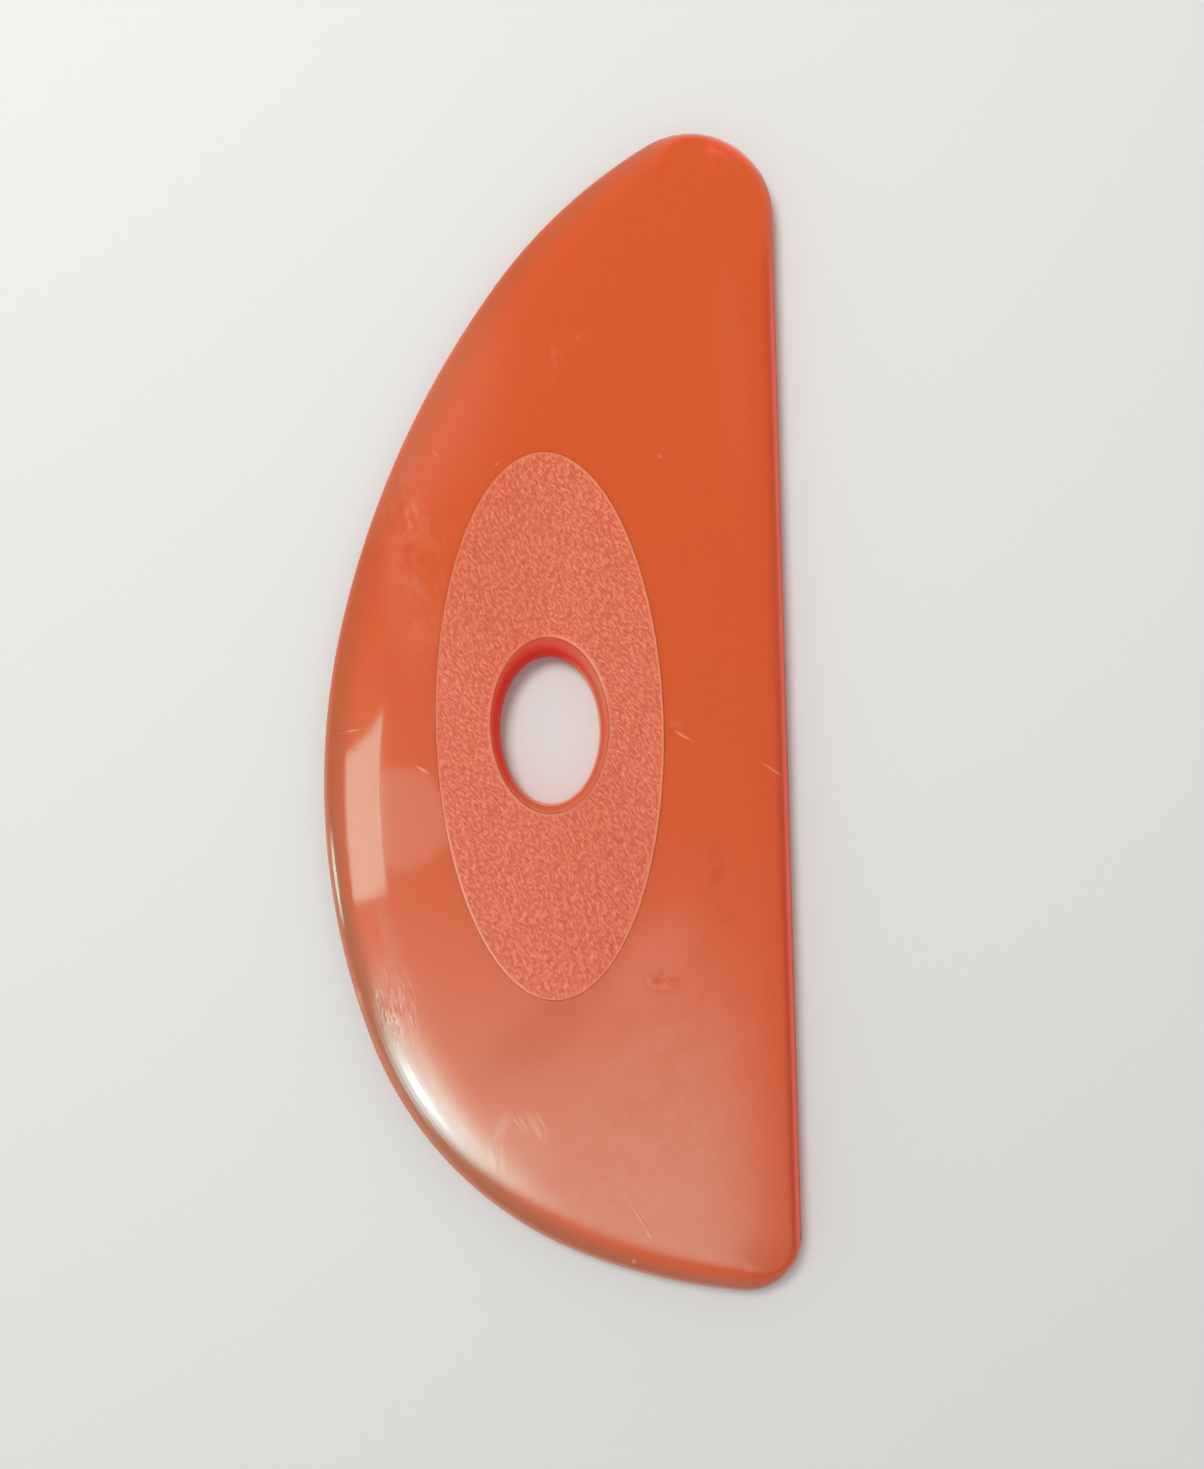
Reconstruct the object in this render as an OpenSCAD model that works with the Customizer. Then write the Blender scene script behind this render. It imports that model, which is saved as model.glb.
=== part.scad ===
// A flexible half-moon rib for shaping clay. The blade is one soft sheet with a straight
// edge on the right, a long bevelled curve on the left and a finger hole. An oval grip pad
// lies in a shallow pocket on each face, round the hole.
// +Y runs along the straight edge, +X points from the belly to the straight edge, and +Z
// points up from the surface that the rib lies on. The origin is under the middle of its box.

/* [Outline] */
// Length from the top of the nose to the bottom of the heel
rib_len = 164.8; // [152:0.2:178]
// Width from the straight edge to the widest point of the belly
rib_w = 66.4; // [60:0.2:76]
// How far the widest point of the belly lies below mid-length
belly_drop = 11.5; // [8:0.25:16]
// Radius of the nose, at the top of the straight edge
nose_r = 12; // [9:0.5:15]
// Radius of the heel, at the bottom of the straight edge
heel_r = 8; // [5:0.5:11]
// Radius of the long curve round the belly
belly_r = 102.5; // [90:0.5:115]

/* [Turn of the long curve, in degrees from the belly] */
// Turn at which the belly arc ends on the way up
upper_turn_1 = 14.5; // [12:0.5:17]
// Turn at which the first upper flank arc ends
upper_turn_2 = 37.5; // [34:0.5:41]
// Turn at which the second upper flank arc ends and the nose starts
upper_turn_3 = 60.5; // [57:0.5:64]
// Turn at which the belly arc ends on the way down
lower_turn_1 = 19.5; // [17:0.5:22]
// Turn at which the first lower flank arc ends
lower_turn_2 = 68.5; // [65:0.5:71]
// Turn at which the second lower flank arc ends and the heel starts
lower_turn_3 = 83.5; // [80:0.5:88]

/* [Thickness and edges] */
// Thickness of the blade between its two flat faces
blade_t = 4.7; // [4:0.1:6]
// Thickness of the lip along the long curve
curve_lip_t = 1.1; // [0.8:0.1:1.8]
// Thickness of the lip along the straight edge
straight_lip_t = 1.8; // [1.2:0.1:2.6]
// Run of the bevel behind the lip of the long curve
curve_bevel = 8; // [5:0.25:10]
// Run of the bevel behind the lip of the straight edge
straight_bevel = 1.4; // [1:0.1:3]
// Turn at which the bevel starts to narrow towards the nose
nose_narrow_from = 25; // [10:1:45]
// Turn at which the bevel has the run of the straight edge, round the nose
nose_narrow_to = 90; // [75:1:140]
// Turn at which the bevel starts to narrow towards the heel
heel_narrow_from = 25; // [10:1:45]
// Turn at which the bevel has the run of the straight edge, round the heel
heel_narrow_to = 88; // [75:1:140]

/* [Softer bevel on the lower half of the long curve, at turns from the belly] */
// How much further in the bevel starts there
soft_extra = 4; // [2:0.25:5]
// Turn at which the bevel starts to soften
soft_from = 8; // [4:1:12]
// Turn at which it is wholly soft
soft_full = 20; // [16:1:28]
// Turn at which the softening starts to end
soft_fade = 68; // [58:1:74]
// Turn at which it has ended, round the heel
soft_end = 150; // [120:1:170]

/* [Finger hole] */
// Length of the hole at its narrowest, halfway through the blade
hole_len = 21; // [16:0.5:26]
// Width of the hole at its narrowest, halfway through the blade
hole_w = 14.2; // [11:0.2:18]
// How far the hole at its narrowest lies below the middle of the pads
hole_drop = 0.65; // [0:0.05:1]
// How far the hole at its narrowest lies from the middle of the pads towards the belly
hole_shift = 0.15; // [0:0.05:0.5]
// How far the smooth rounded rim reaches past the ends of the hole, on average
rim_end = 1.95; // [1.2:0.05:4]
// How far the smooth rounded rim reaches past the sides of the hole, on average
rim_side = 1.25; // [0.8:0.05:3]

/* [Grip pads] */
// Length of each pad
pad_len = 77.5; // [62:0.5:90]
// Width of each pad
pad_w = 32.3; // [27:0.1:38]
// Thickness of each pad
pad_t = 0.8; // [0.5:0.05:1.4]
// How far each pad stands proud of the face round it
pad_proud = 0.15; // [0.05:0.05:0.4]
// Gap between each pad's two edges and the walls of its pocket
pad_fit = 0.05; // [0.02:0.01:0.2]
// How far the middle of the pads and of the hole lies below mid-length
pad_drop = 1.7; // [0:0.05:6]
// How far the middle of the pads and of the hole lies from mid-width towards the belly
pad_shift = 0.45; // [0:0.05:3]

/* [Hidden] */

total_t = blade_t + 2 * pad_proud;
mid_z = total_t / 2;
pocket_floor = total_t / 2 - pad_t;
upper_turns = [0, upper_turn_1, upper_turn_2, upper_turn_3, 180];
lower_turns = [0, lower_turn_1, lower_turn_2, lower_turn_3, 180];

// Longest facet round a tight arc in degrees, and along the long curve and the straight edge
turn_step = 10;
curve_step = 3.2;
straight_step = 6.4;
// Facets across the lip, the bevel and the rounded rim, from the middle of the blade
lip_steps = 3;
bevel_steps = 4;
rim_steps = 5;

// Radii of the four arcs between the belly and the straight edge. The belly's and the
// corner's are given, and the two flank arcs between them are the ones that make the curve
// reach the whole width and the given height.
function half_radii(turns, height, corner_r) =
    let (a = turns[1])
    let (b = turns[2])
    let (c = turns[3])
    let (across_1 = cos(a) - cos(b))
    let (across_2 = cos(b) - cos(c))
    let (along_1 = sin(b) - sin(a))
    let (along_2 = sin(c) - sin(b))
    let (across = rib_w - belly_r * (1 - cos(a)) - corner_r * (1 + cos(c)))
    let (along = height - belly_r * sin(a) - corner_r * (1 - sin(c)))
    let (scale = across_1 * along_2 - across_2 * along_1)
    [belly_r, (across * along_2 - across_2 * along) / scale,
     (across_1 * along - along_1 * across) / scale, corner_r];

// Where arc number k starts, as the distance across and along from the belly point
function arc_start(radii, turns, k) =
    k == 0 ? [0, 0] : arc_start(radii, turns, k - 1) + radii[k - 1]
        * [cos(turns[k - 1]) - cos(turns[k]), sin(turns[k]) - sin(turns[k - 1])];

// Facets on one arc
function arc_steps(radius, sweep) =
    max(ceil(sweep / turn_step), ceil(radius * sweep * PI / 180 / curve_step));

// Eases from 0 to 1 as turn goes from one angle to another
function eased(turn, from, to) =
    let (s = min(1, max(0, (turn - from) / (to - from))))
    s * s * (3 - 2 * s);

// Share of the softer bevel at one turn: none on the upper half
function softness(side, turn) =
    side > 0 ? 0 : eased(turn, soft_from, soft_full) * (1 - eased(turn, soft_fade, soft_end));

// One half of the outline from the belly to the straight edge. side is 1 for the upper half
// and -1 for the lower one. Each entry is [place, outward direction, share of straight edge,
// share of softer bevel].
function half_outline(side, turns, radii, narrow_from, narrow_to) =
    [for (k = [0 : 3])
        let (steps = arc_steps(radii[k], turns[k + 1] - turns[k]))
        let (start = arc_start(radii, turns, k))
        for (j = [0 : steps - 1])
            let (turn = turns[k] + (turns[k + 1] - turns[k]) * j / steps)
            let (across = start[0] + radii[k] * (cos(turns[k]) - cos(turn)))
            let (along = start[1] + radii[k] * (sin(turn) - sin(turns[k])))
            [[across - rib_w / 2, side * along - belly_drop], [-cos(turn), side * sin(turn)],
             eased(turn, narrow_from, narrow_to), softness(side, turn)]];

upper_radii = half_radii(upper_turns, rib_len / 2 + belly_drop, nose_r);
lower_radii = half_radii(lower_turns, rib_len / 2 - belly_drop, heel_r);
upper_half = half_outline(1, upper_turns, upper_radii, nose_narrow_from, nose_narrow_to);
lower_half = half_outline(-1, lower_turns, lower_radii, heel_narrow_from, heel_narrow_to);

// The straight edge, from the end of the heel to the end of the nose
straight_low = heel_r - rib_len / 2;
straight_high = rib_len / 2 - nose_r;
straight_steps = ceil((straight_high - straight_low) / straight_step);
straight_part = [for (j = [0 : straight_steps])
    [[rib_w / 2, straight_low + (straight_high - straight_low) * j / straight_steps], [1, 0], 1, 0]];

// The whole outline, anticlockwise from the end of the heel
outline = concat(straight_part, [for (j = [len(upper_half) - 1 : -1 : 1]) upper_half[j]], lower_half);

// Place on an oval round the pad's middle that lies in the direction of an outline point
function on_oval(semi_x, semi_y, place) =
    let (x = place[0] + pad_shift)
    let (y = place[1] + pad_drop)
    let (reach = 1 / sqrt(x * x / (semi_x * semi_x) + y * y / (semi_y * semi_y)))
    [x * reach - pad_shift, y * reach - pad_drop];

// One point of the blade's upper side, z being its height over the middle of the blade
function edge_point(spot, inset, z) = [for (v = spot[0] - inset * spot[1]) v, z];
function oval_point(spot, semi_x, semi_y, z) = [for (v = on_oval(semi_x, semi_y, spot[0])) v, z];

// The upper side of the blade from the tip of the lip to the throat of the hole. The lip is a
// round arc that runs into the bevel, and the bevel is a parabola that runs into the face, or
// a cubic curve where it is soft. The rounded rim drifts from the middle of the pads to the
// middle of the hole on its way down.
function upper_side(spot) =
    let (lip_t = curve_lip_t + (straight_lip_t - curve_lip_t) * spot[2])
    let (bevel = curve_bevel + (straight_bevel - curve_bevel) * spot[2] + soft_extra * spot[3])
    let (power = 2 + spot[3])
    let (rise = (blade_t - lip_t) / 2)
    let (slope = atan(power * rise / bevel))
    let (lip_r = lip_t / 2 / cos(slope))
    let (lip_run = lip_r * (1 - sin(slope)))
    concat(
        [for (j = [0 : lip_steps])
            let (a = (90 - slope) * j / lip_steps)
            edge_point(spot, lip_r * (1 - cos(a)), lip_r * sin(a))],
        [for (j = [1 : bevel_steps])
            let (u = j / bevel_steps)
            edge_point(spot, lip_run + bevel * u, blade_t / 2 - rise * pow(1 - u, power))],
        [oval_point(spot, pad_w / 2 + pad_fit, pad_len / 2 + pad_fit, blade_t / 2)],
        [oval_point(spot, pad_w / 2 + pad_fit, pad_len / 2 + pad_fit, pocket_floor)],
        [oval_point(spot, hole_w / 2 + rim_side, hole_len / 2 + rim_end, pocket_floor)],
        [for (j = [0 : rim_steps])
            let (a = 90 * j / rim_steps)
            let (left = 1 - sin(a))
            oval_point(spot, hole_w / 2 + rim_side * left, hole_len / 2 + rim_end * left, mid_z * cos(a))
                - [hole_shift, hole_drop, 0] * (1 - left)]
    );

// One closed section of the blade: its upper side, and the same again on its lower side
function section(spot) =
    let (upper = upper_side(spot))
    concat(upper, [for (j = [len(upper) - 2 : -1 : 1]) [upper[j][0], upper[j][1], -upper[j][2]]]);

module blade() {
    sections = [for (spot = outline) section(spot)];
    turns = len(sections);
    around = len(sections[0]);
    points = [for (ring = sections) for (p = ring) p];
    faces = [for (i = [0 : turns - 1])
        for (j = [0 : around - 1])
            let (next_i = (i + 1) % turns)
            let (next_j = (j + 1) % around)
            let (a = i * around + j)
            let (b = next_i * around + j)
            let (c = next_i * around + next_j)
            let (d = i * around + next_j)
            for (triangle = [[a, d, c], [a, c, b]]) triangle];
    color([0.84, 0.33, 0.18]) translate([0, 0, mid_z]) polyhedron(points, faces, convexity = 6);
}

// A flat oval ring that lies in a pocket, with its underside at z = 0
module grip_ring() {
    linear_extrude(height = pad_t) difference() {
        polygon([for (spot = outline) on_oval(pad_w / 2, pad_len / 2, spot[0])]);
        polygon([for (spot = outline)
            on_oval(hole_w / 2 + rim_side + pad_fit, hole_len / 2 + rim_end + pad_fit, spot[0])]);
    }
}

module front_grip_pad() {
    color([0.87, 0.45, 0.36]) translate([0, 0, mid_z + pocket_floor]) grip_ring();
}

module back_grip_pad() {
    color([0.85, 0.42, 0.34]) grip_ring();
}

blade();
front_grip_pad();
back_grip_pad();
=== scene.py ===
# Pottery rib: a soft orange-red half-moon blade with a matt oval grip on each face
import bpy
import math
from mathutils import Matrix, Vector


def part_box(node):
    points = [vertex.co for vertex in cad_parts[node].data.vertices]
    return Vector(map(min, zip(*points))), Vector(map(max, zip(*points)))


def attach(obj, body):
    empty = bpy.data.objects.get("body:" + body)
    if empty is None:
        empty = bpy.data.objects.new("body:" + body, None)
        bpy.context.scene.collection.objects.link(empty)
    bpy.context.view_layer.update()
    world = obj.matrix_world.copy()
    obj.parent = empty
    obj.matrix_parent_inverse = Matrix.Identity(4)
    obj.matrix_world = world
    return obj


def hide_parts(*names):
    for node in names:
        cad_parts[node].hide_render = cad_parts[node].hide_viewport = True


mm = 0.001
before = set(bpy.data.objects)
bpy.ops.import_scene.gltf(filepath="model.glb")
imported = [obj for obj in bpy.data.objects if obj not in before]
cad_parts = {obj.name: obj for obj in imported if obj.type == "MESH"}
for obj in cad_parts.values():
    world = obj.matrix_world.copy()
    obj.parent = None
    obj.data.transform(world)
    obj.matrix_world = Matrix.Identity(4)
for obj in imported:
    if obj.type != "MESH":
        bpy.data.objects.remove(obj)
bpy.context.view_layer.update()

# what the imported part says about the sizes
bladeLow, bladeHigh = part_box("blade")
padLow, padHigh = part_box("front_grip_pad")
ribWidth = bladeHigh.x - bladeLow.x
ribLength = round((bladeHigh.y - bladeLow.y) / mm, 1) * mm  # facets cut the nose a hair short
midHeight = (bladeHigh.z + bladeLow.z) / 2
padMiddle = (padLow + padHigh) / 2
padWidth = padHigh.x - padLow.x
padLength = padHigh.y - padLow.y
weldGap = 0.002 * mm  # points closer than this become one


# small helpers for building node trees
def plug(tree, value, socket):
    if isinstance(value, Wire):
        tree.links.new(value.socket, socket)
    else:
        socket.default_value = value


class Wire:
    # a socket that adds and multiplies like a number, in a geometry or a material tree
    def __init__(self, tree, socket):
        self.tree = tree
        self.socket = socket

    def __add__(self, other):
        return calc(self.tree, "ADD", self, other)

    def __sub__(self, other):
        return calc(self.tree, "SUBTRACT", self, other)

    def __rsub__(self, other):
        return calc(self.tree, "SUBTRACT", other, self)

    def __mul__(self, other):
        return calc(self.tree, "MULTIPLY", self, other)

    def __truediv__(self, other):
        return calc(self.tree, "DIVIDE", self, other)

    __radd__ = __add__
    __rmul__ = __mul__


def calc(tree, operation, *values):
    node = tree.nodes.new("ShaderNodeMath")
    node.operation = operation
    for value, socket in zip(values, node.inputs):
        plug(tree, value, socket)
    return Wire(tree, node.outputs[0])


def addNode(tree, kind, settings=None, **values):
    node = tree.nodes.new(kind)
    for name, value in (settings or {}).items():
        setattr(node, name, value)
    for name, value in values.items():
        plug(tree, value, node.inputs[name.replace("_", " ")])
    return node


def blend(share, start, end):
    return start + (end - start) * share


def smooth(tree, value, low, high):
    node = addNode(tree, "ShaderNodeMapRange", {"interpolation_type": "SMOOTHSTEP"})
    for slot, number in zip(node.inputs, (value, low, high, 0, 1)):
        plug(tree, number, slot)
    return Wire(tree, node.outputs[0])


def vectorOf(tree, x, y, z):
    node = addNode(tree, "ShaderNodeCombineXYZ", X=x, Y=y, Z=z)
    return Wire(tree, node.outputs[0])


def partsOf(tree, vector):
    node = addNode(tree, "ShaderNodeSeparateXYZ", Vector=vector)
    return [Wire(tree, out) for out in node.outputs]


def newTree(name, inputs):
    # a geometry tree with its named inputs, each with the value that this rib takes
    tree = bpy.data.node_groups.new(name, "GeometryNodeTree")
    tree.interface.new_socket("Geometry", in_out="INPUT", socket_type="NodeSocketGeometry")
    tree.interface.new_socket("Geometry", in_out="OUTPUT", socket_type="NodeSocketGeometry")
    for label, (kind, value) in inputs.items():
        tree.interface.new_socket(label, in_out="INPUT", socket_type=kind)
    entry = tree.nodes.new("NodeGroupInput")
    return tree, {out.name: Wire(tree, out) for out in entry.outputs if out.name}


def runTree(name, mesh, tree, inputs):
    # gives the tree its inputs, evaluates it once, and keeps the result as a plain mesh
    carrier = bpy.data.objects.new(name + "Source", mesh)
    bpy.context.scene.collection.objects.link(carrier)
    modifier = carrier.modifiers.new(name, "NODES")
    modifier.node_group = tree
    for item in tree.interface.items_tree:
        if item.in_out == "INPUT" and item.name in inputs:
            modifier[item.identifier] = inputs[item.name][1]
    graph = bpy.context.evaluated_depsgraph_get()
    made = bpy.data.meshes.new_from_object(carrier.evaluated_get(graph), depsgraph=graph)
    carrier.modifiers.remove(modifier)
    bpy.data.objects.remove(carrier)
    made.name = name
    piece = bpy.data.objects.new(name, made)
    bpy.context.scene.collection.objects.link(piece)
    return piece


def gridBand(tree, pointsRound, rows):
    # a strip of quads: columns go round the piece, rows go across it
    grid = addNode(tree, "GeometryNodeMeshGrid", Vertices_X=pointsRound + 1, Vertices_Y=rows + 1)
    index = Wire(tree, addNode(tree, "GeometryNodeInputIndex").outputs[0])
    column = calc(tree, "FLOOR", (index + 0.5) / (rows + 1))
    row = calc(tree, "FLOOR", index - column * (rows + 1) + 0.5)
    return Wire(tree, grid.outputs["Mesh"]), column, row / rows


def placed(tree, mesh, position, marks):
    # moves the strip's points, and writes its named marks for the material
    setNode = addNode(tree, "GeometryNodeSetPosition", Geometry=mesh, Position=position)
    result = Wire(tree, setNode.outputs[0])
    for name, value in marks.items():
        store = addNode(tree, "GeometryNodeStoreNamedAttribute",
                        {"data_type": "FLOAT", "domain": "POINT"}, Geometry=result, Name=name)
        plug(tree, value, store.inputs["Value"])
        result = Wire(tree, store.outputs[0])
    return result


def welded(tree, strips):
    join = tree.nodes.new("GeometryNodeJoinGeometry")
    for strip in strips:
        tree.links.new(strip.socket, join.inputs[0])
    merge = addNode(tree, "GeometryNodeMergeByDistance", Geometry=Wire(tree, join.outputs[0]),
                    Distance=weldGap)
    return Wire(tree, merge.outputs[0])


def finishTree(tree, mesh, material, sharpAngle):
    # smooth shading with sharp folds, then real geometry with its material
    angle = Wire(tree, addNode(tree, "GeometryNodeInputMeshEdgeAngle").outputs[0])
    folds = calc(tree, "GREATER_THAN", angle, math.radians(sharpAngle))
    shade = addNode(tree, "GeometryNodeSetShadeSmooth", {"domain": "EDGE"},
                    Geometry=mesh, Selection=folds, Shade_Smooth=False)
    real = addNode(tree, "GeometryNodeRealizeInstances", Geometry=Wire(tree, shade.outputs[0]))
    paint = addNode(tree, "GeometryNodeSetMaterial", Geometry=Wire(tree, real.outputs[0]),
                    Material=material)
    leave = tree.nodes.new("NodeGroupOutput")
    tree.links.new(paint.outputs[0], leave.inputs[0])


# the blade: an outline of arcs that run into each other, with rows of faces laid in from it
blade = {
    "noseRadius": 12 * mm,
    "heelRadius": 8 * mm,
    "bellyRadius": 102.5 * mm,
    "bellyDrop": 11.5 * mm,            # widest point, below mid-length
    "upperTurns": (14.5, 37.5, 60.5),  # degrees turned from the belly where each arc ends
    "lowerTurns": (19.5, 68.5, 83.5),
    "noseNarrows": (25, 90),           # the bevel narrows between these turns
    "heelNarrows": (25, 88),
    "padProud": 0.15 * mm,             # how far the grips stand over the face
    "curveLip": 1.1 * mm,              # height of the rounded edge
    "straightLip": 1.8 * mm,
    "curveBevel": 8 * mm,
    "straightBevel": 1.4 * mm,
    "softExtra": 4 * mm,               # low on the long curve the bevel is this much wider
    "softStarts": (8, 20),             # turns over which it grows so wide, and narrows again
    "softEnds": (68, 150),
    "padGap": 0.05 * mm,               # all round a grip in its pocket
    "holeLength": 21 * mm,
    "holeWidth": 14.2 * mm,
    "holeDrop": 0.65 * mm,             # the hole at its narrowest, from the middle of the grips
    "holeShift": 0.15 * mm,
    "rimEnd": 1.95 * mm,               # how far the hole's rim rolls in, at its ends and sides
    "rimSide": 1.25 * mm,
    "spacing": 0.75 * mm,              # between points round the outline
    "cornerSteps": 24,                 # points for each radian of a tight corner, at least
    "lipRows": 7,
    "bevelRows": 20,
    "faceRows": 10,
    "wallRows": 1,
    "floorRows": 4,
    "rimRows": 14,
    "sharpFold": 35,                   # degrees, past which a fold stays crisp
}


def eased(value, low, high):
    share = min(1, max(0, (value - low) / (high - low)))
    return share * share * (3 - 2 * share)


def arcRadii(turns, height, cornerRadius):
    # the two flank radii that make the curve reach the whole width and this height
    a, b, c = (math.radians(t) for t in turns)
    across1 = math.cos(a) - math.cos(b)
    across2 = math.cos(b) - math.cos(c)
    along1 = math.sin(b) - math.sin(a)
    along2 = math.sin(c) - math.sin(b)
    belly = blade["bellyRadius"]
    across = ribWidth - belly * (1 - math.cos(a)) - cornerRadius * (1 + math.cos(c))
    along = height - belly * math.sin(a) - cornerRadius * (1 - math.sin(c))
    scale = across1 * along2 - across2 * along1
    first = (across * along2 - across2 * along) / scale
    second = (across1 * along - along1 * across) / scale
    return [belly, first, second, cornerRadius]


def halfOutline(side, turns, height, cornerRadius, narrows):
    # from the belly to the straight edge: place, outward direction, share of straight edge, and
    # share of soft bevel
    spots = []
    across, along = 0, 0
    turns = [0, *turns, 180]
    for k, radius in enumerate(arcRadii(turns[1:4], height, cornerRadius)):
        start, end = math.radians(turns[k]), math.radians(turns[k + 1])
        sweep = end - start
        steps = math.ceil(max(radius * sweep / blade["spacing"], sweep * blade["cornerSteps"]))
        for j in range(steps):
            turn = start + sweep * j / steps
            x = across + radius * (math.cos(start) - math.cos(turn)) - ribWidth / 2
            rise = along + radius * (math.sin(turn) - math.sin(start))
            place = (x, side * rise - blade["bellyDrop"], 0)
            outward = (-math.cos(turn), side * math.sin(turn), 0)
            degrees = math.degrees(turn)
            soft = 0
            if side < 0:
                soft = eased(degrees, *blade["softStarts"])
                soft *= 1 - eased(degrees, *blade["softEnds"])
            spots.append((place, outward, eased(degrees, *narrows), soft))
        across += radius * (math.cos(start) - math.cos(end))
        along += radius * (math.sin(end) - math.sin(start))
    return spots


def outlineMesh():
    high = ribLength / 2 + blade["bellyDrop"]
    low = ribLength / 2 - blade["bellyDrop"]
    upper = halfOutline(1, blade["upperTurns"], high, blade["noseRadius"], blade["noseNarrows"])
    lower = halfOutline(-1, blade["lowerTurns"], low, blade["heelRadius"], blade["heelNarrows"])
    bottom = blade["heelRadius"] - ribLength / 2
    top = ribLength / 2 - blade["noseRadius"]
    steps = math.ceil((top - bottom) / blade["spacing"] / 2)
    straight = [((ribWidth / 2, bottom + (top - bottom) * j / steps, 0), (1, 0, 0), 1, 0)
                for j in range(steps + 1)]
    spots = straight + upper[:0:-1] + lower
    mesh = bpy.data.meshes.new("ribOutline")
    mesh.from_pydata([s[0] for s in spots], [], [])
    outward = mesh.attributes.new("outward", "FLOAT_VECTOR", "POINT")
    outward.data.foreach_set("vector", [v for s in spots for v in s[1]])
    for name, part in (("straightShare", 2), ("softShare", 3)):
        marks = mesh.attributes.new(name, "FLOAT", "POINT")
        marks.data.foreach_set("value", [s[part] for s in spots])
    return mesh


def sampled(tree, geometry, kind, value, index):
    node = addNode(tree, "GeometryNodeSampleIndex", {"data_type": kind, "domain": "POINT"},
                   Geometry=geometry, Value=value, Index=index)
    return Wire(tree, node.outputs[0])


def named(tree, kind, name):
    node = addNode(tree, "GeometryNodeInputNamedAttribute", {"data_type": kind}, Name=name)
    return Wire(tree, node.outputs[0])


def bladeInputs(mesh, material):
    number = "NodeSocketFloat"
    return {
        "Points Round": ("NodeSocketInt", len(mesh.vertices)),
        "Thickness": (number, bladeHigh.z - bladeLow.z),
        "Pad Proud": (number, blade["padProud"]),
        "Pocket Floor": (number, padLow.z - midHeight),
        "Curve Lip": (number, blade["curveLip"]),
        "Straight Lip": (number, blade["straightLip"]),
        "Curve Bevel": (number, blade["curveBevel"]),
        "Straight Bevel": (number, blade["straightBevel"]),
        "Soft Extra": (number, blade["softExtra"]),
        "Hole Drop": (number, blade["holeDrop"]),
        "Hole Shift": (number, blade["holeShift"]),
        "Pocket Width": (number, padWidth + 2 * blade["padGap"]),
        "Pocket Length": (number, padLength + 2 * blade["padGap"]),
        "Hole Width": (number, blade["holeWidth"]),
        "Hole Length": (number, blade["holeLength"]),
        "Rim Side": (number, blade["rimSide"]),
        "Rim End": (number, blade["rimEnd"]),
        "Middle X": (number, padMiddle.x),
        "Middle Y": (number, padMiddle.y),
        "Material": ("NodeSocketMaterial", material),
    }


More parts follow.
